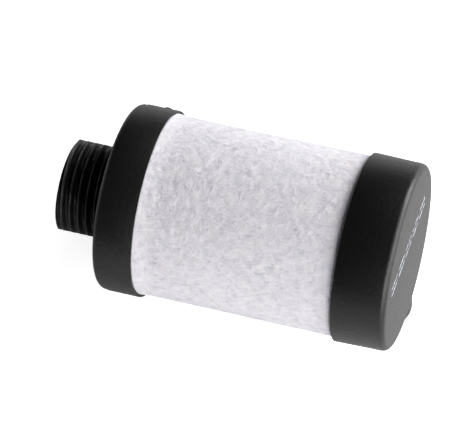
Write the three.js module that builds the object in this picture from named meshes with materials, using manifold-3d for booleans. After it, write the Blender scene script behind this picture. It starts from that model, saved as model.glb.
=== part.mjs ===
// Coalescing exhaust silencer for compressed air, with a G 1/2 male inlet.
//
// Air enters through the threaded inlet cap, fills the chamber inside the element, passes out
// through the filter layers and leaves through the felt sleeve. Oil and water gather in the
// sleeve and run off at the drain boss on the end cap.
//
// Frame: millimetres, +Z up, +X from the inlet thread to the closed end. The origin is on the
// axis, in the sealing shoulder that bears on the port. The drain boss points straight down.

import * as THREE from 'three';
import { mergeVertices } from 'three/addons/utils/BufferGeometryUtils.js';
import Module from 'manifold-3d';

const wasm = await Module();
wasm.setup();

// Driving dimensions
const CAP_RADIUS = 20;            // end cap, at its rim
const CAP_DRAFT = 0.25;           // how much a cap's radius falls from its rim to its closed end
const INLET_CAP_RADIUS = 20;      // inlet cap, at its rim
const INLET_CAP_DRAFT = 0.1;
const INLET_CAP_HEIGHT = 8.65;
const END_CAP_HEIGHT = 11.3;
const SLEEVE_SHOWN = 42.45;       // sleeve between the two rims
const INLET_CORNER = 1.2;
const END_CORNER = 1.3;
const WALL = 1.3;                 // skirt of both caps
const INLET_FLOOR = 2.8;
const END_FLOOR = 3;
const GAP = 0.3;                  // between neighbouring pieces

const PIPE_THREAD = { pitch: 1.814, majorRadius: 10.478, minorRadius: 9.316, length: 11.3 };
const THREAD_FLAT = { halfWidth: 9.72, tilt: THREE.MathUtils.degToRad(25.5) };
const THREAD_CHAMFER = 0.5;
const THREAD_RELIEF = 0.9;
const BORE_RADIUS = 7;
const SPIGOT = { radius: 9.1, length: 3.6 };
const SHOULDER_RECESS = { radius: 10.9, depth: 0.5 };

const SLEEVE = { inner: 16.2, outer: 19.15, squeezed: 18.4 };
const LAYERS = {
  inner_support_tube: [9.4, 10],
  inner_scrim: [10.25, 10.65],
  prefilter_layer: [10.9, 11.9],
  coalescing_media: [12.15, 14.35],
  outer_scrim: [14.6, 15],
  outer_support_tube: [15.3, 15.9],
};
const POTTING = { thickness: 3.5, seat: 1.5, landInner: 10.3, landOuter: 15 };
const PERFORATION = { radius: 1.8, sides: 6, rows: 5, spacing: 9 };

const DRAIN = { bossRadius: 5.5, reach: 24.9, fromFace: 5.7, edge: 0.8, holeRadius: 1.75 };
const INSERT = { radius: 3, bore: 2.1, length: 3.6, groove: 0.35 };

const ROUND_SIDES = 48;
const LAYER_SIDES = 32;
const SMALL_SIDES = 24;
const THREAD_STEPS = 5;           // along one pitch

// Places along the axis
const INLET_RIM = INLET_CAP_HEIGHT;
const END_RIM = INLET_RIM + SLEEVE_SHOWN;
const END_FACE = END_RIM + END_CAP_HEIGHT;
const END_CUP_FLOOR = END_FACE - END_FLOOR;
const INLET_POTTING = INLET_FLOOR + GAP;
const END_POTTING = END_CUP_FLOOR - GAP;
const DRAIN_X = END_FACE - DRAIN.fromFace;

// Points of an arc in a profile plane, from one angle to another, in degrees.
function arc(centreRadius, centreX, radius, from, to, steps = 4) {
  const points = [];
  for (let step = 0; step <= steps; step++) {
    const angle = THREE.MathUtils.degToRad(from + ((to - from) * step) / steps);
    points.push([centreRadius + radius * Math.cos(angle), centreX + radius * Math.sin(angle)]);
  }
  return points;
}

// A profile of [radius, x] pairs turned about the X axis. The profile runs anticlockwise.
function turned(profile, sides, closed = true) {
  const points = profile.map(([radius, x]) => new THREE.Vector2(radius, x));
  if (closed) points.push(points[0].clone());
  return new THREE.LatheGeometry(points, sides).rotateZ(-Math.PI / 2);
}

function ring(inner, outer, from, to, sides) {
  return turned([[inner, from], [outer, from], [outer, to], [inner, to]], sides);
}

function rod(radius, from, to, sides) {
  return turned([[0, from], [radius, from], [radius, to], [0, to]], sides, false);
}

function solidOf(geometry) {
  const bare = geometry.clone();
  bare.deleteAttribute('normal');
  bare.deleteAttribute('uv');
  const merged = mergeVertices(bare);
  const mesh = new wasm.Mesh({
    numProp: 3,
    vertProperties: merged.attributes.position.array,
    triVerts: Uint32Array.from(merged.index.array),
  });
  return new wasm.Manifold(mesh);
}

function geometryOf(solid) {
  const mesh = solid.getMesh();
  const geometry = new THREE.BufferGeometry();
  geometry.setAttribute('position', new THREE.BufferAttribute(mesh.vertProperties, 3));
  geometry.setIndex(new THREE.BufferAttribute(mesh.triVerts, 1));
  geometry.computeVertexNormals();
  return geometry;
}

// Male pipe thread: a cylinder whose wall follows the thread's wave. Two sides are flat where
// the halves of the mould meet, the tip is chamfered and the root runs out at the shoulder.
function threadWave() {
  const { pitch, majorRadius, minorRadius, length } = PIPE_THREAD;
  const steps = Math.round((length / pitch) * THREAD_STEPS);
  const overlap = SHOULDER_RECESS.depth + 0.5;
  const height = length + overlap;
  const geometry = new THREE.CylinderGeometry(1, 1, height, ROUND_SIDES, steps);
  geometry.rotateZ(-Math.PI / 2).translate(overlap - height / 2, 0, 0);
  const flat = new THREE.Vector3(0, Math.cos(THREAD_FLAT.tilt), Math.sin(THREAD_FLAT.tilt));
  const place = geometry.attributes.position;
  const point = new THREE.Vector3();
  for (let i = 0; i < place.count; i++) {
    point.fromBufferAttribute(place, i);
    if (Math.hypot(point.y, point.z) < 0.5) continue;
    const turn = Math.atan2(point.z, point.y) / (2 * Math.PI);
    const wave = 0.5 - 0.5 * Math.cos(2 * Math.PI * (point.x / pitch - turn));
    const fromTip = point.x + length;
    const full = minorRadius + (majorRadius - minorRadius) * wave;
    const tipLimit = majorRadius - THREAD_CHAMFER + fromTip;
    const radius = point.x > -THREAD_RELIEF ? minorRadius : Math.min(full, tipLimit);
    point.set(0, point.y * radius, point.z * radius);
    const across = point.dot(flat);
    const kept = THREE.MathUtils.clamp(across, -THREAD_FLAT.halfWidth, THREAD_FLAT.halfWidth);
    point.addScaledVector(flat, kept - across);
    place.setXYZ(i, place.getX(i), point.y, point.z);
  }
  return geometry;
}

function inletCap() {
  const rim = INLET_CAP_RADIUS;
  const shoulder = rim - INLET_CAP_DRAFT;
  const cup = CAP_RADIUS - WALL;
  const body = turned([
    [BORE_RADIUS, SHOULDER_RECESS.depth],
    [SHOULDER_RECESS.radius, SHOULDER_RECESS.depth],
    [SHOULDER_RECESS.radius, 0],
    ...arc(shoulder - INLET_CORNER, INLET_CORNER, INLET_CORNER, -90, 0),
    [rim, INLET_RIM - 0.2],
    [rim - 0.2, INLET_RIM],
    [cup, INLET_RIM],
    [cup, INLET_FLOOR],
    [SPIGOT.radius, INLET_FLOOR],
    [SPIGOT.radius, INLET_FLOOR + SPIGOT.length],
    [BORE_RADIUS, INLET_FLOOR + SPIGOT.length],
  ], ROUND_SIDES);
  const bore = rod(BORE_RADIUS, -PIPE_THREAD.length - 1, INLET_FLOOR, ROUND_SIDES);
  return geometryOf(solidOf(body).add(solidOf(threadWave())).subtract(solidOf(bore)));
}

function endCap() {
  const rim = CAP_RADIUS;
  const face = rim - CAP_DRAFT;
  const cup = rim - WALL;
  const body = turned([
    [0, END_CUP_FLOOR],
    [BORE_RADIUS, END_CUP_FLOOR],
    [BORE_RADIUS, END_CUP_FLOOR - SPIGOT.length],
    [SPIGOT.radius, END_CUP_FLOOR - SPIGOT.length],
    [SPIGOT.radius, END_CUP_FLOOR],
    [cup, END_CUP_FLOOR],
    [cup, END_RIM],
    [rim - 0.2, END_RIM],
    [rim, END_RIM + 0.2],
    ...arc(face - END_CORNER, END_FACE - END_CORNER, END_CORNER, 0, 90, 5),
    [0, END_FACE],
  ], ROUND_SIDES, false);
  const root = CAP_RADIUS - WALL / 2;
  const boss = pointDown(turned([
    [0, root],
    [DRAIN.bossRadius, root],
    ...arc(DRAIN.bossRadius - DRAIN.edge, DRAIN.reach - DRAIN.edge, DRAIN.edge, 0, 90, 3),
    [0, DRAIN.reach],
  ], SMALL_SIDES, false));
  const pocketFloor = DRAIN.reach - INSERT.length - GAP;
  const pocket = pointDown(rod(INSERT.radius + GAP, pocketFloor, DRAIN.reach + 1, SMALL_SIDES));
  const drainHole = pointDown(rod(DRAIN.holeRadius, cup - 1, pocketFloor + 0.5, SMALL_SIDES));
  const moulded = solidOf(body).add(solidOf(boss));
  return geometryOf(moulded.subtract(solidOf(pocket)).subtract(solidOf(drainHole)));
}

// Turns a piece made along +X to point down from the axis at the drain.
function pointDown(geometry) {
  return geometry.rotateY(Math.PI / 2).translate(DRAIN_X, 0, 0);
}

// Threaded brass insert, with a groove round its middle that the nylon grips.
function drainInsert() {
  const { radius, bore, length, groove } = INSERT;
  const from = DRAIN.reach - length;
  const to = DRAIN.reach - 0.1;
  const middle = (from + to) / 2;
  return pointDown(turned([
    [bore, from],
    [radius, from],
    [radius, middle - 0.6],
    [radius - groove, middle - 0.4],
    [radius - groove, middle + 0.4],
    [radius, middle + 0.6],
    [radius, to],
    [bore, to],
  ], SMALL_SIDES));
}

function drainSleeve() {
  const { inner, outer, squeezed } = SLEEVE;
  return turned([
    [inner, INLET_POTTING],
    [squeezed, INLET_POTTING],
    [squeezed, INLET_RIM + GAP],
    [outer - 0.3, INLET_RIM + GAP],
    [outer, INLET_RIM + 2 * GAP],
    [outer, END_RIM - 2 * GAP],
    [outer - 0.3, END_RIM - GAP],
    [squeezed, END_RIM - GAP],
    [squeezed, END_POTTING],
    [inner, END_POTTING],
  ], ROUND_SIDES);
}

function perforatedTube([inner, outer], holesRound) {
  const from = INLET_POTTING + POTTING.seat + GAP;
  const to = END_POTTING - POTTING.seat - GAP;
  const middle = (from + to) / 2;
  let tube = solidOf(ring(inner, outer, from, to, LAYER_SIDES));
  for (let row = 0; row < PERFORATION.rows; row++) {
    const x = middle + (row - (PERFORATION.rows - 1) / 2) * PERFORATION.spacing;
    for (let hole = 0; hole < holesRound; hole++) {
      const angle = ((hole + (row % 2) / 2) * 2 * Math.PI) / holesRound;
      const punch = rod(PERFORATION.radius, inner - 1, outer + 1, PERFORATION.sides);
      punch.rotateY(Math.PI / 2).rotateX(angle).translate(x, 0, 0);
      tube = tube.subtract(solidOf(punch));
    }
  }
  return geometryOf(tube);
}

function filterLayer([inner, outer]) {
  const from = INLET_POTTING + POTTING.thickness + GAP;
  const to = END_POTTING - POTTING.thickness - GAP;
  return ring(inner, outer, from, to, LAYER_SIDES);
}

// Resin ring in the bottom of a cap. Its raised land ends the filter layers, and the support
// tubes stand in the steps on both sides of the land. The way is +1 or -1 along the axis.
function pottingRing(floor, way) {
  const inner = LAYERS.inner_support_tube[0];
  const outer = LAYERS.outer_support_tube[1];
  const step = floor + way * POTTING.seat;
  const top = floor + way * POTTING.thickness;
  const profile = [
    [inner, floor],
    [outer, floor],
    [outer, step],
    [POTTING.landOuter, step],
    [POTTING.landOuter, top],
    [POTTING.landInner, top],
    [POTTING.landInner, step],
    [inner, step],
  ];
  return turned(way > 0 ? profile : profile.reverse(), LAYER_SIDES);
}

const FINISHES = {
  nylon: { color: 0x1c1c1c, roughness: 0.55, metalness: 0 },
  felt: { color: 0xf0eef2, roughness: 0.95, metalness: 0 },
  steel: { color: 0xb4b7ba, roughness: 0.35, metalness: 0.9 },
  brass: { color: 0xb8944a, roughness: 0.3, metalness: 0.95 },
  scrim: { color: 0xe2e0d8, roughness: 0.9, metalness: 0 },
  fibre: { color: 0xf4f3ec, roughness: 1, metalness: 0 },
  prefilter: { color: 0xe6dfc8, roughness: 1, metalness: 0 },
  resin: { color: 0x8c7a52, roughness: 0.4, metalness: 0 },
};

const silencer = new THREE.Group();

function addPiece(name, geometry, finish) {
  const piece = new THREE.Mesh(geometry, new THREE.MeshStandardMaterial(FINISHES[finish]));
  piece.name = name;
  silencer.add(piece);
}

addPiece('inlet_cap', inletCap(), 'nylon');
addPiece('end_cap', endCap(), 'nylon');
addPiece('drain_insert', drainInsert(), 'brass');
addPiece('drain_sleeve', drainSleeve(), 'felt');
addPiece('outer_support_tube', perforatedTube(LAYERS.outer_support_tube, 10), 'steel');
addPiece('outer_scrim', filterLayer(LAYERS.outer_scrim), 'scrim');
addPiece('coalescing_media', filterLayer(LAYERS.coalescing_media), 'fibre');
addPiece('prefilter_layer', filterLayer(LAYERS.prefilter_layer), 'prefilter');
addPiece('inner_scrim', filterLayer(LAYERS.inner_scrim), 'scrim');
addPiece('inner_support_tube', perforatedTube(LAYERS.inner_support_tube, 6), 'steel');
addPiece('inlet_potting', pottingRing(INLET_POTTING, 1), 'resin');
addPiece('end_potting', pottingRing(END_POTTING, -1), 'resin');

export default silencer;
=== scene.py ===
import math
import random

import bpy
from mathutils import Euler, Matrix, Vector, noise


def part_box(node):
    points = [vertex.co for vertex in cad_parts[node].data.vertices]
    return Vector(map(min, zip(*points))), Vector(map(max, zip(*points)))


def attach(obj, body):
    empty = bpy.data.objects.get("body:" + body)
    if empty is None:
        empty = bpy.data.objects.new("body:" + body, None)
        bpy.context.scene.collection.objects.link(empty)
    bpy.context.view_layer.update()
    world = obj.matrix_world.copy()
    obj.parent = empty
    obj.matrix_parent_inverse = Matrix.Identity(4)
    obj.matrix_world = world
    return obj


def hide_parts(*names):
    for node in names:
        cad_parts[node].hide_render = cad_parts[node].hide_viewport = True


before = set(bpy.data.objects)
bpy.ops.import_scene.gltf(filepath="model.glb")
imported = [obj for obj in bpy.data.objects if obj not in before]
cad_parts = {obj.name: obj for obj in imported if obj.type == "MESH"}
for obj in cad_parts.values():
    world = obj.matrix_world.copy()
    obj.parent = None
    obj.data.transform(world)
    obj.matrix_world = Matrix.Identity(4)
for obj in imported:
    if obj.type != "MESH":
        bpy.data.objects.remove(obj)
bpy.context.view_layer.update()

MM = 0.001


# ---------------------------------------------------------------------------------------------
# Inlet cap: black glass-filled nylon, moulded in one with its G 1/2 male thread. The cup holds
# the end of the filter element, and the spigot inside it centres the element's inner tube.

inlet_low, inlet_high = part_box("inlet_cap")
thread_tip = inlet_low.x
inlet_rim = inlet_high.x
inlet_rim_radius = inlet_high.z
inlet_shoulder_radius = inlet_rim_radius - 0.1 * MM
inlet_corner = 1.2 * MM
inlet_floor = 2.8 * MM
inlet_spigot_end = 6.4 * MM
spigot_radius = 9.1 * MM
bore_radius = 7 * MM
recess_radius = 10.9 * MM
recess_depth = 0.5 * MM
cup_radius = 18.7 * MM
lip_width = 0.2 * MM
lip_chamfer = 0.9 * MM
lip_step = 0.2 * MM
rim_edge = 0.06 * MM
recess_edge = 0.15 * MM
tip_face_radius = 8.4 * MM
bore_lead = 0.4 * MM
cap_sides = 256
nylon_grain = 2900
nylon_bump = 0.05 * MM


def turned(name, profile, sides):
    """A solid with a hole along X: a ring drawn from one (x, radius) pair to the next and back."""
    bpy.ops.object.select_all(action="DESELECT")
    x, radius = profile[0]
    bpy.ops.mesh.primitive_circle_add(
        vertices=sides, radius=radius, location=(x, 0, 0), rotation=(0, math.pi / 2, 0)
    )
    piece = bpy.context.object
    piece.name = name
    bpy.ops.object.transform_apply(location=True, rotation=True, scale=True)
    bpy.ops.object.mode_set(mode="EDIT")
    bpy.ops.mesh.select_all(action="SELECT")
    for next_x, next_radius in profile[1:] + profile[:1]:
        bpy.ops.mesh.extrude_region_move(
            TRANSFORM_OT_translate={"value": (next_x - x, 0, 0)}
        )
        ratio = next_radius / radius
        bpy.ops.transform.resize(
            value=(1, ratio, ratio), center_override=(next_x, 0, 0)
        )
        x, radius = next_x, next_radius
    bpy.ops.mesh.select_all(action="SELECT")
    bpy.ops.mesh.remove_doubles(threshold=1e-6)
    bpy.ops.mesh.normals_make_consistent(inside=False)
    bpy.ops.object.mode_set(mode="OBJECT")
    return piece


def round_ring(piece, x, radius, amount, segments):
    """Bevels the ring of edges that lies at one place and radius on a turned piece."""
    near = 0.02 * MM
    for polygon in piece.data.polygons:
        polygon.select = False
    for vertex in piece.data.vertices:
        vertex.select = False
    on_ring = [
        abs(v.co.x - x) < near and abs(math.hypot(v.co.y, v.co.z) - radius) < near
        for v in piece.data.vertices
    ]
    for edge in piece.data.edges:
        edge.select = all(on_ring[v] for v in edge.vertices)
    bpy.context.view_layer.objects.active = piece
    bpy.ops.object.mode_set(mode="EDIT")
    bpy.ops.mesh.select_mode(type="EDGE")
    bpy.ops.mesh.bevel(offset=amount, segments=segments, profile=0.5)
    bpy.ops.mesh.select_mode(type="VERT")
    bpy.ops.object.mode_set(mode="OBJECT")


# The thread: Whitworth form with rounded crests and roots. It has flats where the mould's two
# halves part, a chamfered tip, and it runs out before the shoulder.
pitch = 1.814 * MM
major_radius = 10.478 * MM
minor_radius = 9.316 * MM
thread_chamfer = 0.5 * MM
thread_relief = 0.9 * MM
thread_start = -0.11
parting_angle = math.radians(25.5)
parting_half_width = 9.72 * MM
thread_rows = 96


def thread_radius(x, angle):
    """The thread's surface at a place along the axis and an angle round it."""
    turns = (x / pitch - angle / (2 * math.pi) + thread_start) % 1
    depth = major_radius - minor_radius
    sharp = 1.5 * depth * (0.5 - 2 * min(turns, 1 - turns))
    rounded = 0.5 * depth * math.tanh(sharp / (0.5 * depth)) / math.tanh(1.5)
    full = (major_radius + minor_radius) / 2 + rounded
    from_tip = x - thread_tip
    tip_limit = major_radius - thread_chamfer + from_tip
    fade = min(max((-thread_relief - x) / (0.5 * pitch), 0), 1)
    return min(minor_radius + (full - minor_radius) * fade, tip_limit)


def cut_thread(piece):
    parting = Vector((0, math.cos(parting_angle), math.sin(parting_angle)))
    for vertex in piece.data.vertices:
        x, y, z = vertex.co
        if x > recess_depth * 1.01 or abs(math.hypot(y, z) - major_radius) > 0.1 * MM:
            continue
        angle = math.atan2(z, y)
        radius = thread_radius(x, angle)
        around = Vector((0, math.cos(angle), math.sin(angle))) * radius
        across = around.dot(parting)
        kept = min(max(across, -parting_half_width), parting_half_width)
        around += parting * (kept - across)
        vertex.co = (x, around.y, around.z)


thread_profile = []
for row in range(thread_rows + 1):
    share = row / thread_rows
    thread_profile.append((thread_tip + share * (recess_depth - thread_tip), major_radius))

inlet_cap = turned(
    "inlet_cap_shell",
    [(thread_tip, bore_radius + bore_lead), (thread_tip, tip_face_radius)]
    + thread_profile
    + [
        (recess_depth, recess_radius),
        (0, recess_radius),
        (0, inlet_shoulder_radius),
        (inlet_rim, inlet_rim_radius),
        (inlet_rim, inlet_rim_radius - lip_width),
        (inlet_rim - lip_chamfer, cup_radius + lip_step),
        (inlet_rim - lip_chamfer - lip_step, cup_radius),
        (inlet_floor, cup_radius),
        (inlet_floor, spigot_radius),
        (inlet_spigot_end, spigot_radius),
        (inlet_spigot_end, bore_radius),
        (thread_tip + bore_lead, bore_radius),
    ],
    cap_sides,
)
cut_thread(inlet_cap)
round_ring(inlet_cap, 0, inlet_shoulder_radius, inlet_corner, 8)
round_ring(inlet_cap, inlet_rim, inlet_rim_radius, rim_edge, 2)
round_ring(inlet_cap, 0, recess_radius, recess_edge, 2)


def join_or_cut(piece, tool, operation, solver="EXACT"):
    modifier = piece.modifiers.new("join", "BOOLEAN")
    modifier.operation = operation
    modifier.object = tool
    modifier.solver = solver
    bpy.context.view_layer.objects.active = piece
    bpy.ops.object.modifier_apply(modifier="join")
    bpy.data.objects.remove(tool)


# The flash on a wall stops short of the rim and of the rounded corner.
flash_width = 0.14 * MM
flash_depth = 0.4 * MM
flash_sink = 0.17 * MM
flash_from_corner = 0.2 * MM
flash_from_rim = 0.3 * MM


def parting_ridge(piece, angle, start, end, radius):
    """Adds the thin line of flash that the mould's parting plane leaves along a wall."""
    bpy.ops.object.select_all(action="DESELECT")
    bpy.ops.mesh.primitive_cube_add(size=1, location=((start + end) / 2, 0, radius - flash_sink))
    ridge = bpy.context.object
    ridge.scale = (end - start, flash_width, flash_depth)
    bpy.ops.object.transform_apply(location=True, rotation=True, scale=True)
    ridge.data.transform(Matrix.Rotation(angle - math.pi / 2, 4, "X"))
    join_or_cut(piece, ridge, "UNION")


flash_start = inlet_corner + flash_from_corner
flash_end = inlet_rim - flash_from_rim
for side in (0, math.pi):
    parting_ridge(inlet_cap, parting_angle + side, flash_start, flash_end, inlet_rim_radius)

# The pip where the runner was snapped off, a low dome beside the parting line.
gate_angle = math.radians(18.5)
gate_x = inlet_rim - 3.3 * MM
gate_sink = 0.02 * MM
pip_radius = 1 * MM
pip_lump = 0.5 * MM
bpy.ops.object.select_all(action="DESELECT")
bpy.ops.mesh.primitive_uv_sphere_add(segments=32, ring_count=16, radius=pip_radius, location=(0, 0, 0))
gate_pip = bpy.context.object
gate_pip.scale = (0.95, 0.8, 0.5)
bpy.ops.object.transform_apply(location=True, rotation=True, scale=True)
for vertex in gate_pip.data.vertices:
    vertex.co *= 1 + 0.12 * noise.noise(vertex.co / pip_lump)
gate_turn = Matrix.Rotation(gate_angle - math.pi / 2, 4, "X")
gate_pip.data.transform(gate_turn @ Matrix.Translation((gate_x, 0, inlet_rim_radius - gate_sink)))
join_or_cut(inlet_cap, gate_pip, "UNION")


def shade_by_angle(piece, degrees):
    bpy.ops.object.select_all(action="DESELECT")
    piece.select_set(True)
    bpy.context.view_layer.objects.active = piece
    bpy.ops.object.shade_smooth_by_angle(angle=math.radians(degrees))


shade_by_angle(inlet_cap, 40)


def new_material(name):
    """A material with an empty tree but for its shader; returns it, its tree and the shader."""
    material = bpy.data.materials.new(name)
    material.use_nodes = True
    tree = material.node_tree
    return material, tree, tree.nodes["Principled BSDF"]


def link(tree, source, target):
    tree.links.new(source, target)


def noise_node(tree, vector, scale, detail, roughness=0.5, distortion=0.0):
    node = tree.nodes.new("ShaderNodeTexNoise")
    node.inputs["Scale"].default_value = scale
    node.inputs["Detail"].default_value = detail
    node.inputs["Roughness"].default_value = roughness
    node.inputs["Distortion"].default_value = distortion
    link(tree, vector, node.inputs["Vector"])
    return node


def math_node(tree, operation, first, second):
    node = tree.nodes.new("ShaderNodeMath")
    node.operation = operation
    for socket, value in zip(node.inputs, (first, second)):
        if isinstance(value, (int, float)):
            socket.default_value = value
        else:
            link(tree, value, socket)
    return node.outputs["Value"]


def spread(tree, value, low, high, to_low, to_high):
    """Maps a value from one range onto another, and holds it inside the new range."""
    node = tree.nodes.new("ShaderNodeMapRange")
    for key, number in (("From Min", low), ("From Max", high), ("To Min", to_low), ("To Max", to_high)):
        node.inputs[key].default_value = number
    link(tree, value, node.inputs["Value"])
    return node.outputs["Result"]


def colours(tree, factor, stops):
    node = tree.nodes.new("ShaderNodeValToRGB")
    ramp = node.color_ramp
    while len(ramp.elements) < len(stops):
        ramp.elements.new(0.5)
    for element, (position, colour) in zip(ramp.elements, stops):
        element.position = position
        element.color = (*colour, 1)
    link(tree, factor, node.inputs["Fac"])
    return node.outputs["Color"]


def bump_node(tree, height, distance, strength=1.0):
    node = tree.nodes.new("ShaderNodeBump")
    node.inputs["Distance"].default_value = distance
    node.inputs["Strength"].default_value = strength
    link(tree, height, node.inputs["Height"])
    return node.outputs["Normal"]


def object_coordinates(tree):
    return tree.nodes.new("ShaderNodeTexCoord").outputs["Object"]


def group_tree(name, values, results):
    """A shader group with a Vector and named value inputs, and named value outputs."""
    tree = bpy.data.node_groups.new(name, "ShaderNodeTree")
    tree.interface.new_socket("Vector", in_out="INPUT", socket_type="NodeSocketVector")
    for key in values:
        tree.interface.new_socket(key, in_out="INPUT", socket_type="NodeSocketFloat")
    for key in results:
        tree.interface.new_socket(key, in_out="OUTPUT", socket_type="NodeSocketFloat")
    return tree, tree.nodes.new("NodeGroupInput"), tree.nodes.new("NodeGroupOutput")


def place_group(tree, group, vector, **values):
    node = tree.nodes.new("ShaderNodeGroup")
    node.node_tree = group
    link(tree, vector, node.inputs["Vector"])
    for key, value in values.items():
        node.inputs[key].default_value = value
    return node


def spark_texture():
    """The fine pitted skin that a spark-eroded mould gives: a height and a speckle mask."""
    tree, start, end = group_tree("spark_texture", ["Grain"], ["Height", "Speckle"])
    fine = noise_node(tree, start.outputs["Vector"], 1, 3, 0.6)
    link(tree, start.outputs["Grain"], fine.inputs["Scale"])
    coarse = noise_node(tree, start.outputs["Vector"], 1, 2, 0.5)
    wide = math_node(tree, "MULTIPLY", start.outputs["Grain"], 0.37)
    link(tree, wide, coarse.inputs["Scale"])
    lumps = math_node(tree, "MULTIPLY", coarse.outputs["Fac"], 1.2)
    link(tree, math_node(tree, "ADD", fine.outputs["Fac"], lumps), end.inputs["Height"])
    link(tree, spread(tree, fine.outputs["Fac"], 0.32, 0.68, 0, 1), end.inputs["Speckle"])
    return tree


spark = spark_texture()


def black_nylon():
    material, tree, shader = new_material("black_nylon")
    place = object_coordinates(tree)
    skin = place_group(tree, spark, place, Grain=nylon_grain)
    cloud = noise_node(tree, place, 90, 3)
    grain = math_node(tree, "MULTIPLY", skin.outputs["Speckle"], 0.7)
    haze = math_node(tree, "MULTIPLY", cloud.outputs["Fac"], 0.3)
    tone = math_node(tree, "ADD", grain, haze)
    black = colours(tree, tone, [(0.15, (0.0015, 0.0015, 0.0016)), (0.85, (0.0070, 0.0066, 0.0064))])
    link(tree, black, shader.inputs["Base Color"])
    link(tree, spread(tree, tone, 0.15, 0.85, 0.48, 0.34), shader.inputs["Roughness"])
    link(tree, bump_node(tree, skin.outputs["Height"], nylon_bump), shader.inputs["Normal"])
    return material


nylon = black_nylon()
inlet_cap.data.materials.append(nylon)
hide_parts("inlet_cap")
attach(inlet_cap, "root")


# ---------------------------------------------------------------------------------------------
# End cap: a black nylon cup with a flat closed face. A boss on its wall drains the sleeve.

end_low, end_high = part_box("end_cap")
end_rim = end_low.x
end_face = end_high.x
end_rim_radius = end_high.z
end_face_radius = end_rim_radius - 0.25 * MM
end_corner = 1.3 * MM
end_floor = end_face - 3 * MM
end_spigot_end = end_floor - 3.6 * MM
boss_radius = 5.5 * MM
boss_draft = 0.1 * MM
boss_edge = 0.8 * MM
boss_end = -end_low.z
boss_x = end_face - 5.7 * MM
pocket_radius = 3.3 * MM
pocket_floor = boss_end - 3.9 * MM
drain_radius = 1.75 * MM


def drawn(name, profile, sides):
    """A turned solid whose first and last rings are closed by flat discs."""
    bpy.ops.object.select_all(action="DESELECT")
    x, radius = profile[0]
    bpy.ops.mesh.primitive_circle_add(
        vertices=sides, radius=radius, location=(x, 0, 0), rotation=(0, math.pi / 2, 0), fill_type="NGON"
    )
    piece = bpy.context.object
    piece.name = name
    bpy.ops.object.transform_apply(location=True, rotation=True, scale=True)
    bpy.ops.object.mode_set(mode="EDIT")
    bpy.ops.mesh.select_all(action="SELECT")
    for next_x, next_radius in profile[1:]:
        bpy.ops.mesh.extrude_region_move(TRANSFORM_OT_translate={"value": (next_x - x, 0, 0)})
        ratio = next_radius / radius
        bpy.ops.transform.resize(value=(1, ratio, ratio), center_override=(next_x, 0, 0))
        x, radius = next_x, next_radius
    bpy.ops.mesh.select_all(action="SELECT")
    bpy.ops.mesh.normals_make_consistent(inside=False)
    bpy.ops.object.mode_set(mode="OBJECT")
    return piece


def point_down(piece):
    """Turns a piece made along X so that it points down from the axis at the drain."""
    piece.data.transform(Matrix.Translation((boss_x, 0, 0)) @ Matrix.Rotation(math.pi / 2, 4, "Y"))


end_cap = drawn(
    "end_cap_shell",
    [
        (end_floor, bore_radius),
        (end_spigot_end, bore_radius),
        (end_spigot_end, spigot_radius),
        (end_floor, spigot_radius),
        (end_floor, cup_radius),
        (end_rim + lip_chamfer + lip_step, cup_radius),
        (end_rim + lip_chamfer, cup_radius + lip_step),
        (end_rim, end_rim_radius - lip_width),
        (end_rim, end_rim_radius),
        (end_face, end_face_radius),
    ],
    cap_sides,
)
round_ring(end_cap, end_face, end_face_radius, end_corner, 8)
round_ring(end_cap, end_rim, end_rim_radius, rim_edge, 2)
boss = drawn(
    "drain_boss",
    [
        (cup_radius + 0.4 * MM, boss_radius),
        (boss_end, boss_radius - boss_draft),
    ],
    96,
)
round_ring(boss, boss_end, boss_radius - boss_draft, boss_edge, 6)
point_down(boss)
join_or_cut(end_cap, boss, "UNION")
pocket = drawn("pocket", [(pocket_floor, pocket_radius), (boss_end + 1 * MM, pocket_radius)], 64)
point_down(pocket)
join_or_cut(end_cap, pocket, "DIFFERENCE")
drain_hole = drawn("drain_hole", [(cup_radius - 1 * MM, drain_radius), (boss_end, drain_radius)], 48)
point_down(drain_hole)
join_or_cut(end_cap, drain_hole, "DIFFERENCE")
flash_start = end_rim + flash_from_rim
flash_end = end_face - end_corner - flash_from_corner
flash_radius = end_face_radius + 0.05 * MM
for side in (0, math.pi):
    parting_ridge(end_cap, parting_angle + side, flash_start, flash_end, flash_radius)
shade_by_angle(end_cap, 40)


def flecked_face_nylon():
    """The same nylon, with pale flecks on the end face and the outer part of its rounded corner."""
    material, tree, shader = new_material("flecked_face_nylon")
    place = object_coordinates(tree)
    skin = place_group(tree, spark, place, Grain=nylon_grain)
    flecks = noise_node(tree, place, 2600, 5, 0.6)
    parts = tree.nodes.new("ShaderNodeSeparateXYZ")
    link(tree, place, parts.inputs["Vector"])
    # Pale flecks fade in over the last 0.4 mm before the end face, so they cover the face and the outer part
    # of its corner.
    on_face = spread(tree, parts.outputs["X"], end_face - 0.4 * MM, end_face - 0.05 * MM, 0, 0.75)
    pale = math_node(tree, "MULTIPLY", spread(tree, flecks.outputs["Fac"], 0.3, 0.8, 0, 1), on_face)
    tone = math_node(tree, "MAXIMUM", math_node(tree, "MULTIPLY", skin.outputs["Speckle"], 0.2), pale)
    hollow = (0.0015, 0.0015, 0.0016)
    raised = (0.0070, 0.0066, 0.0064)
    pale_fleck = (0.070, 0.066, 0.064)
    black = colours(tree, tone, [(0.0, hollow), (0.2, raised), (1.0, pale_fleck)])
    link(tree, black, shader.inputs["Base Color"])
    link(tree, spread(tree, skin.outputs["Speckle"], 0, 1, 0.46, 0.36), shader.inputs["Roughness"])
    link(tree, bump_node(tree, skin.outputs["Height"], nylon_bump), shader.inputs["Normal"])
    return material


end_cap.data.materials.clear()
end_cap.data.materials.append(flecked_face_nylon())
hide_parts("end_cap")
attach(end_cap, "root")


# ---------------------------------------------------------------------------------------------
# Print on the end face: two plain dashed rules in thin white ink, worn through in places. They
# are generic and spell nothing.

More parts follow.
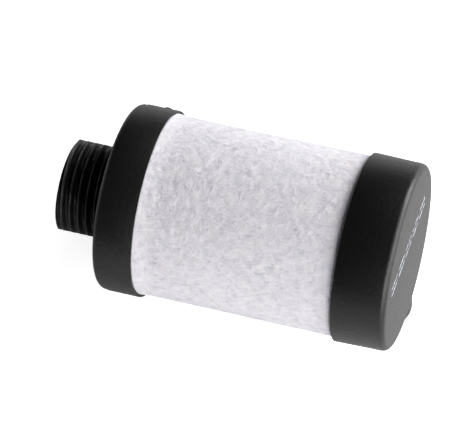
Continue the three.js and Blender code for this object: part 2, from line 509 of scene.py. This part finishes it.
print_centre = Vector((0, 0.5 * MM, 4.7 * MM))
print_slope = math.radians(-15)
print_along = Vector((0, math.cos(print_slope), math.sin(print_slope)))
print_up = Vector((0, -math.sin(print_slope), math.cos(print_slope)))
dash_count = 5
dash_length = 4.6 * MM
dash_step = 5.5 * MM
rule_spacing = 2 * MM
stroke_width = 0.4 * MM
ink_depth = 0.03 * MM
dash_rounding = 0.48 * stroke_width


def ink_dash(along, up):
    """One dash with round ends, made flat on the end face."""
    bpy.ops.object.select_all(action="DESELECT")
    bpy.ops.mesh.primitive_cube_add(size=1, location=(0, 0, 0))
    dash = bpy.context.object
    dash.scale = (ink_depth, dash_length, stroke_width)
    bpy.ops.object.transform_apply(location=True, rotation=True, scale=True)
    bpy.ops.object.mode_set(mode="EDIT")
    bpy.ops.mesh.select_mode(type="EDGE")
    bpy.ops.mesh.select_all(action="DESELECT")
    bpy.ops.object.mode_set(mode="OBJECT")
    for edge in dash.data.edges:
        first, second = (dash.data.vertices[v].co for v in edge.vertices)
        edge.select = abs(first.x - second.x) > ink_depth / 2
    bpy.ops.object.mode_set(mode="EDIT")
    bpy.ops.mesh.bevel(offset=dash_rounding, segments=5)
    bpy.ops.mesh.select_mode(type="VERT")
    bpy.ops.object.mode_set(mode="OBJECT")
    centre = print_centre + print_along * along + print_up * up
    centre.x = end_face + ink_depth * 0.6
    dash.data.transform(Matrix.Translation(centre) @ Matrix.Rotation(print_slope, 4, "X"))
    return dash


dashes = []
for number in range(dash_count):
    middle = (number - (dash_count - 1) / 2) * dash_step
    for side in (-1, 1):
        dashes.append(ink_dash(middle, side * rule_spacing / 2))
bpy.ops.object.select_all(action="DESELECT")
for dash in dashes:
    dash.select_set(True)
face_print = dashes[0]
bpy.context.view_layer.objects.active = face_print
bpy.ops.object.join()
face_print.name = "face_print"


def white_ink():
    material, tree, shader = new_material("white_ink")
    place = object_coordinates(tree)
    worn = noise_node(tree, place, 900, 4, 0.7)
    rubbed_off = (0.08, 0.08, 0.09)
    thin = (0.50, 0.53, 0.60)
    whole = (0.76, 0.80, 0.87)
    ink = colours(tree, worn.outputs["Fac"], [(0.38, rubbed_off), (0.52, thin), (0.7, whole)])
    link(tree, ink, shader.inputs["Base Color"])
    link(tree, spread(tree, worn.outputs["Fac"], 0.35, 0.65, 0.6, 0.45), shader.inputs["Roughness"])
    return material


face_print.data.materials.append(white_ink())
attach(face_print, "root")


# ---------------------------------------------------------------------------------------------
# Drain insert: a turned brass bush with an M5 thread. Its knurled outside is pressed hot into
# the boss, and the nylon fills the groove round its middle.

insert_radius = 3 * MM
insert_groove = 0.35 * MM
insert_end = boss_end - 0.1 * MM
insert_start = insert_end - 3.5 * MM
insert_middle = (insert_start + insert_end) / 2
insert_sides = 80
m5_pitch = 0.8 * MM
m5_minor = 2.1 * MM
m5_major = 2.5 * MM
m5_rows = 40

knurled_outside = [
    (insert_start, insert_radius - 0.25 * MM),
    (insert_start + 0.25 * MM, insert_radius),
    (insert_middle - 0.6 * MM, insert_radius),
    (insert_middle - 0.4 * MM, insert_radius - insert_groove),
    (insert_middle + 0.4 * MM, insert_radius - insert_groove),
    (insert_middle + 0.6 * MM, insert_radius),
    (insert_end - 0.25 * MM, insert_radius),
    (insert_end, insert_radius - 0.25 * MM),
]
threaded_bore = []
for row in range(m5_rows + 1):
    threaded_bore.append((insert_end - (insert_end - insert_start) * row / m5_rows, m5_minor))
insert = turned("brass_insert", knurled_outside + threaded_bore, insert_sides)
for vertex in insert.data.vertices:
    x, y, z = vertex.co
    off_axis = math.hypot(y, z)
    angle = math.atan2(z, y)
    if off_axis > insert_radius - 0.02 * MM:
        tooth = round(angle / (2 * math.pi) * insert_sides) % 2
        new_radius = insert_radius - 0.14 * MM * tooth
    elif off_axis < m5_minor + 0.02 * MM:
        turns = (x / m5_pitch - angle / (2 * math.pi)) % 1
        depth = (m5_major - m5_minor) * min(2 * min(turns, 1 - turns), 0.9)
        lead = max(0.35 * MM - min(x - insert_start, insert_end - x), 0)
        new_radius = m5_minor + max(depth, lead)
    else:
        continue
    vertex.co.y = y * new_radius / off_axis
    vertex.co.z = z * new_radius / off_axis
point_down(insert)
shade_by_angle(insert, 30)


def turned_metal(name, dark, light, rough_low, rough_high, grain_scale):
    """Bare metal with fine tool marks: a colour that varies a little, and a varying gloss."""
    material, tree, shader = new_material(name)
    place = object_coordinates(tree)
    marks = noise_node(tree, place, grain_scale, 4, 0.6)
    blotch = noise_node(tree, place, grain_scale * 0.12, 2)
    link(tree, colours(tree, blotch.outputs["Fac"], [(0.3, dark), (0.7, light)]), shader.inputs["Base Color"])
    rough = spread(tree, marks.outputs["Fac"], 0.3, 0.7, rough_low, rough_high)
    link(tree, rough, shader.inputs["Roughness"])
    link(tree, bump_node(tree, marks.outputs["Fac"], 0.01 * MM), shader.inputs["Normal"])
    shader.inputs["Metallic"].default_value = 1
    return material


insert.data.materials.append(turned_metal("brass", (0.60, 0.42, 0.17), (0.78, 0.60, 0.30), 0.22, 0.4, 3000))
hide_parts("drain_insert")
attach(insert, "root")


# ---------------------------------------------------------------------------------------------
# Drain sleeve: a tube of white needle-punched polyester felt. It is pulled over the element and
# the skirts of both caps squeeze its ends.

sleeve_low, sleeve_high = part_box("drain_sleeve")
sleeve_radius = sleeve_high.z
sleeve_inner = 16.2 * MM
squeezed_radius = 18.4 * MM
tucked_under = 0.12 * MM
sleeve_rows = 170
sleeve_sides = 320

# The felt stands a little higher beside the inlet rim and settles along its length.
inlet_swell = 4.5 * MM
swell_height = 0.3 * MM
squeezed_within = 1.2 * MM
outer_profile = []
shown_from = inlet_rim - tucked_under
shown_to = end_rim + tucked_under
for row in range(sleeve_rows + 1):
    x = shown_from + (shown_to - shown_from) * row / sleeve_rows
    from_edge = min((x - shown_from) / inlet_swell, 1)
    roll = math.sin(from_edge * math.pi / 2)
    outer_profile.append((x, sleeve_radius + swell_height * (1 - roll)))

under_inlet_cap = [
    (sleeve_low.x, sleeve_inner),
    (sleeve_low.x, squeezed_radius),
    (inlet_rim - squeezed_within, squeezed_radius),
]
under_end_cap = [
    (end_rim + squeezed_within, squeezed_radius),
    (sleeve_high.x, squeezed_radius),
    (sleeve_high.x, sleeve_inner),
]
sleeve = turned("felt_sleeve", under_inlet_cap + outer_profile + under_end_cap, sleeve_sides)
tuft_size = 1.9 * MM
pile_size = 0.55 * MM


def felt_height(place):
    """How far the needled surface stands above or below its mean at a place: tufts, then pile."""
    tufts = noise.fractal(place / tuft_size, 0.6, 2.0, 4)
    pile = noise.fractal(place / pile_size, 0.8, 2.0, 3)
    return 0.045 * MM * tufts + 0.018 * MM * pile - 0.04 * MM


for vertex in sleeve.data.vertices:
    exposed = inlet_rim - 0.3 * MM < vertex.co.x < end_rim + 0.3 * MM
    if exposed and vertex.co.yz.length > sleeve_inner + 1 * MM:
        outward = Vector((0, vertex.co.y, vertex.co.z)).normalized()
        vertex.co += outward * felt_height(vertex.co)
shade_by_angle(sleeve, 60)


def matted_fibres():
    """Needled fibres: a mask of strands lying all ways, a mask of clumps, and a height."""
    scales = ["Strand Scale", "Clump Scale"]
    tree, start, end = group_tree("matted_fibres", scales, ["Strands", "Clumps", "Height"])
    vector = start.outputs["Vector"]
    warp = noise_node(tree, vector, 700, 2)
    shift = tree.nodes.new("ShaderNodeVectorMath")
    shift.operation = "MULTIPLY_ADD"
    link(tree, warp.outputs["Color"], shift.inputs[0])
    shift.inputs[1].default_value = (0.0012, 0.0012, 0.0012)
    link(tree, vector, shift.inputs[2])
    strands = None
    for turn_y, turn_z in ((0.3, 0.2), (1.2, -0.9), (-0.5, 0.9), (0.1, 1.7)):
        mapping = tree.nodes.new("ShaderNodeMapping")
        mapping.inputs["Rotation"].default_value = (0.4, turn_y, turn_z)
        mapping.inputs["Scale"].default_value = (0.12, 1, 1)
        link(tree, shift.outputs["Vector"], mapping.inputs["Vector"])
        ridge = noise_node(tree, mapping.outputs["Vector"], 1, 2, 0.5)
        link(tree, start.outputs["Strand Scale"], ridge.inputs["Scale"])
        line = spread(tree, ridge.outputs["Fac"], 0.5, 0.72, 0, 1)
        strands = line if strands is None else math_node(tree, "MAXIMUM", strands, line)
    clumps = noise_node(tree, vector, 1, 4, 0.6)
    link(tree, start.outputs["Clump Scale"], clumps.inputs["Scale"])
    link(tree, strands, end.inputs["Strands"])
    link(tree, spread(tree, clumps.outputs["Fac"], 0.3, 0.7, 0, 1), end.inputs["Clumps"])
    height = math_node(tree, "ADD", math_node(tree, "MULTIPLY", strands, 0.6), clumps.outputs["Fac"])
    link(tree, height, end.inputs["Height"])
    return tree


fibres_group = matted_fibres()


def white_felt():
    material, tree, shader = new_material("white_felt")
    place = object_coordinates(tree)
    mat = place_group(tree, fibres_group, place, **{"Strand Scale": 4600, "Clump Scale": 720})
    clumps = math_node(tree, "MULTIPLY", mat.outputs["Clumps"], 0.65)
    strands = math_node(tree, "MULTIPLY", mat.outputs["Strands"], 0.35)
    tone = math_node(tree, "ADD", clumps, strands)
    shaded = (0.70, 0.68, 0.75)
    white = (0.88, 0.86, 0.915)
    bright = (0.97, 0.955, 0.985)
    base = colours(tree, tone, [(0.0, shaded), (0.5, white), (1.0, bright)])
    patch = noise_node(tree, place, 75, 2)
    tint = tree.nodes.new("ShaderNodeMix")
    tint.data_type = "RGBA"
    tint.blend_type = "MULTIPLY"
    link(tree, spread(tree, patch.outputs["Fac"], 0.56, 0.74, 0, 0.6), tint.inputs["Factor"])
    link(tree, base, tint.inputs["A"])
    tint.inputs["B"].default_value = (1.0, 0.955, 0.965, 1)
    link(tree, tint.outputs["Result"], shader.inputs["Base Color"])
    shader.inputs["Roughness"].default_value = 0.95
    shader.inputs["Sheen Weight"].default_value = 0.25
    shader.inputs["Sheen Roughness"].default_value = 0.6
    shader.inputs["Specular IOR Level"].default_value = 0.2
    link(tree, bump_node(tree, mat.outputs["Height"], 0.12 * MM, 0.6), shader.inputs["Normal"])
    return material


felt = white_felt()
sleeve.data.materials.append(felt)
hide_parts("drain_sleeve")
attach(sleeve, "root")


# ---------------------------------------------------------------------------------------------
# Loose fibres: polyester staple that the needles left standing on the felt. Each is a short
# curved strand that lies in the pile and lifts a little at one end.

random.seed(17)
fibre_count = 5000
fibre_points = 4
fibre_radius = 0.013 * MM
fibre_rise = 0.02 * MM
shortest_fibre = 1.0
longest_fibre = 3.2
highest_lift = 0.18

strands = bpy.data.curves.new("sleeve_fibres", "CURVE")
strands.dimensions = "3D"
strands.bevel_depth = fibre_radius
strands.bevel_resolution = 0
strands.use_fill_caps = True
for number in range(fibre_count):
    start_x = random.uniform(inlet_rim + 0.3 * MM, end_rim - 0.3 * MM)
    start_angle = random.uniform(0, 2 * math.pi)
    heading = random.uniform(0, 2 * math.pi)
    curl = random.gauss(0, 0.5)
    step = random.uniform(shortest_fibre, longest_fibre) * MM / (fibre_points - 1)
    lift = random.uniform(0.0, highest_lift) * MM
    strand = strands.splines.new("POLY")
    strand.points.add(fibre_points - 1)
    x, angle = start_x, start_angle
    for index, point in enumerate(strand.points):
        x = min(max(x, inlet_rim + 0.1 * MM), end_rim - 0.1 * MM)
        on_felt = Vector((x, sleeve_radius * math.cos(angle), sleeve_radius * math.sin(angle)))
        share = index / (fibre_points - 1)
        radius = sleeve_radius + felt_height(on_felt) + fibre_rise + lift * share ** 2
        point.co = (x, radius * math.cos(angle), radius * math.sin(angle), 1)
        x += step * math.cos(heading)
        angle += step * math.sin(heading) / sleeve_radius
        heading += curl
fibres = bpy.data.objects.new("sleeve_fibres", strands)
bpy.context.scene.collection.objects.link(fibres)
bpy.ops.object.select_all(action="DESELECT")
fibres.select_set(True)
bpy.context.view_layer.objects.active = fibres
bpy.ops.object.convert(target="MESH")
fibres = bpy.context.object
fibres.data.materials.clear()
fibres.data.materials.append(felt)
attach(fibres, "root")


# ---------------------------------------------------------------------------------------------
# Support tubes: rolled from perforated zinc-plated sheet. The outer one keeps the felt from
# crushing the filter layers, and the inner one, seen through the inlet, carries the air out.

tube_low, tube_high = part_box("inner_support_tube")
tube_outer = tube_high.z
tube_inner = tube_outer - 0.6 * MM
hole_radius = 0.85 * MM
holes_round = 16
hole_rows = 18
tube_margin = 2.2 * MM

tube_profile = [
    (tube_low.x, tube_inner),
    (tube_low.x, tube_outer),
    (tube_high.x, tube_outer),
    (tube_high.x, tube_inner),
]
inner_tube = turned("inner_tube_sheet", tube_profile, 128)
punches = []
for row in range(hole_rows):
    share = row / (hole_rows - 1)
    x = tube_low.x + tube_margin + share * (tube_high.x - tube_low.x - 2 * tube_margin)
    for number in range(holes_round):
        turn = 2 * math.pi * (number + 0.5 * (row % 2)) / holes_round
        bpy.ops.object.select_all(action="DESELECT")
        bpy.ops.mesh.primitive_cylinder_add(
            vertices=16, radius=hole_radius, depth=2 * MM, location=(0, 0, (tube_inner + tube_outer) / 2)
        )
        punch = bpy.context.object
        bpy.ops.object.transform_apply(location=True, rotation=True, scale=True)
        punch.data.transform(Matrix.Translation((x, 0, 0)) @ Matrix.Rotation(turn, 4, "X"))
        punches.append(punch)
bpy.ops.object.select_all(action="DESELECT")
for punch in punches:
    punch.select_set(True)
bpy.context.view_layer.objects.active = punches[0]
bpy.ops.object.join()
join_or_cut(inner_tube, punches[0], "DIFFERENCE", "MANIFOLD")
shade_by_angle(inner_tube, 30)
zinc = turned_metal("zinc_plate", (0.46, 0.47, 0.49), (0.64, 0.65, 0.66), 0.28, 0.46, 1500)
inner_tube.data.materials.clear()
inner_tube.data.materials.append(zinc)
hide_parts("inner_support_tube")
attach(inner_tube, "root")
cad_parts["outer_support_tube"].data.materials.append(zinc)


# ---------------------------------------------------------------------------------------------
# Filter layers: cloth scrims inside and outside hold a coarse prefilter and the wrapped glass
# micro-fibre that makes the oil mist run together. They are wound round the inner tube.


def layer_cloth(name, hollow, raised, strand_scale, clump_scale):
    material, tree, shader = new_material(name)
    place = object_coordinates(tree)
    mat = place_group(
        tree, fibres_group, place, **{"Strand Scale": strand_scale, "Clump Scale": clump_scale}
    )
    tone = math_node(tree, "MAXIMUM", mat.outputs["Strands"], mat.outputs["Clumps"])
    link(tree, colours(tree, tone, [(0.2, hollow), (1.0, raised)]), shader.inputs["Base Color"])
    link(tree, bump_node(tree, mat.outputs["Height"], 0.15 * MM), shader.inputs["Normal"])
    shader.inputs["Roughness"].default_value = 0.95
    return material


scrim = layer_cloth("polyester_scrim", (0.62, 0.61, 0.56), (0.84, 0.83, 0.78), 2600, 500)
micro_fibre = layer_cloth("glass_micro_fibre", (0.76, 0.75, 0.70), (0.93, 0.92, 0.88), 7000, 1500)
prefilter = layer_cloth("bonded_prefilter", (0.56, 0.50, 0.38), (0.82, 0.77, 0.64), 1500, 380)
for layer, cloth in (
    ("inner_scrim", scrim),
    ("prefilter_layer", prefilter),
    ("coalescing_media", micro_fibre),
    ("outer_scrim", scrim),
):
    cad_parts[layer].data.materials.append(cloth)


# ---------------------------------------------------------------------------------------------
# Potting rings: amber resin poured into both cups. It seals the ends of the filter layers and
# holds the two support tubes in line.


def potting_resin():
    material, tree, shader = new_material("potting_resin")
    place = object_coordinates(tree)
    swirl = noise_node(tree, place, 160, 3, 0.6, 1.5)
    amber = colours(tree, swirl.outputs["Fac"], [(0.3, (0.20, 0.13, 0.05)), (0.7, (0.36, 0.26, 0.12))])
    link(tree, amber, shader.inputs["Base Color"])
    link(tree, spread(tree, swirl.outputs["Fac"], 0.3, 0.7, 0.22, 0.34), shader.inputs["Roughness"])
    link(tree, bump_node(tree, swirl.outputs["Fac"], 0.1 * MM), shader.inputs["Normal"])
    return material


resin = potting_resin()
for ring in ("inlet_potting", "end_potting"):
    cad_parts[ring].data.materials.append(resin)


# ---------------------------------------------------------------------------------------------
# The floor, the lights and the camera. The silencer leans on the floor, on the edge of its drain
# boss and the outer corner of its inlet cap.

bpy.ops.object.select_all(action="DESELECT")
floor_clearance = 0.02 * MM
boss_edge_x = boss_x - boss_radius + boss_edge
rest_slope = math.atan2(boss_end - inlet_shoulder_radius, boss_edge_x - inlet_corner)
floor_place = (boss_edge_x, 0, -boss_end - floor_clearance)
bpy.ops.mesh.primitive_plane_add(size=6, location=floor_place, rotation=(0, rest_slope, 0))
floor = bpy.context.object
floor.name = "floor"
material, tree, shader = new_material("white_floor")
shader.inputs["Base Color"].default_value = (0.78, 0.78, 0.78, 1)
shader.inputs["Roughness"].default_value = 0.8
shader.inputs["Emission Color"].default_value = (1, 1, 1, 1)
seen = tree.nodes.new("ShaderNodeLightPath").outputs["Is Camera Ray"]
link(tree, math_node(tree, "MULTIPLY", seen, 0.8), shader.inputs["Emission Strength"])
floor.data.materials.append(material)

world = bpy.data.worlds.new("studio")
bpy.context.scene.world = world
world.use_nodes = True
world.node_tree.nodes["Background"].inputs["Color"].default_value = (1, 1, 1, 1)
# The camera sees white beyond the floor, while the world adds almost no light of its own.
world_seen = world.node_tree.nodes.new("ShaderNodeLightPath").outputs["Is Camera Ray"]
world_light = math_node(world.node_tree, "MAXIMUM", world_seen, 0.01)
link(world.node_tree, world_light, world.node_tree.nodes["Background"].inputs["Strength"])

axis_middle = Vector((23.3 * MM, 0, 0))
softbox_distance = 0.9
softbox_size = 0.6


def softbox(name, azimuth, elevation, power):
    """A square area light that looks at the middle of the object."""
    light = bpy.data.lights.new(name, "AREA")
    light.shape = "SQUARE"
    light.size = softbox_size
    light.energy = power
    lamp = bpy.data.objects.new(name, light)
    bpy.context.scene.collection.objects.link(lamp)
    turn = math.radians(azimuth)
    rise = math.radians(elevation)
    way = Vector((math.sin(turn) * math.cos(rise), -math.cos(turn) * math.cos(rise), math.sin(rise)))
    lamp.location = axis_middle + way * softbox_distance
    lamp.rotation_euler = way.to_track_quat("Z", "Y").to_euler()


# A ring of low softboxes, each with its azimuth, elevation and watts. Nothing hangs overhead.
softboxes = [
    (-90, 12, 1.0),
    (45, 12, 6.6),
    (90, 12, 5.7),
    (90, 35, 2.5),
    (135, 12, 7.8),
    (135, 35, 1.9),
]
for number, (azimuth, elevation, watts) in enumerate(softboxes):
    softbox(f"softbox_{number}", azimuth, elevation, watts)

view_azimuth = 26.345
view_elevation = 61.977
view_roll = -11.28
view_distance = 605.8 * MM
aim_left = 0.2 * MM
aim_up = 0.17 * MM
camera_data = bpy.data.cameras.new("camera")
camera_data.lens = 230.4
camera_data.sensor_width = 36
camera_data.clip_end = 20
camera = bpy.data.objects.new("camera", camera_data)
bpy.context.scene.collection.objects.link(camera)
turned_by = Euler((math.radians(90 - view_elevation), 0, math.radians(view_azimuth))).to_matrix()
look = turned_by @ Matrix.Rotation(math.radians(view_roll), 3, "Z")
aim = axis_middle - look.col[0] * aim_left + look.col[1] * aim_up
camera.matrix_world = Matrix.Translation(aim + look.col[2] * view_distance) @ look.to_4x4()
bpy.context.scene.camera = camera
bpy.context.scene.view_settings.view_transform = "Standard"
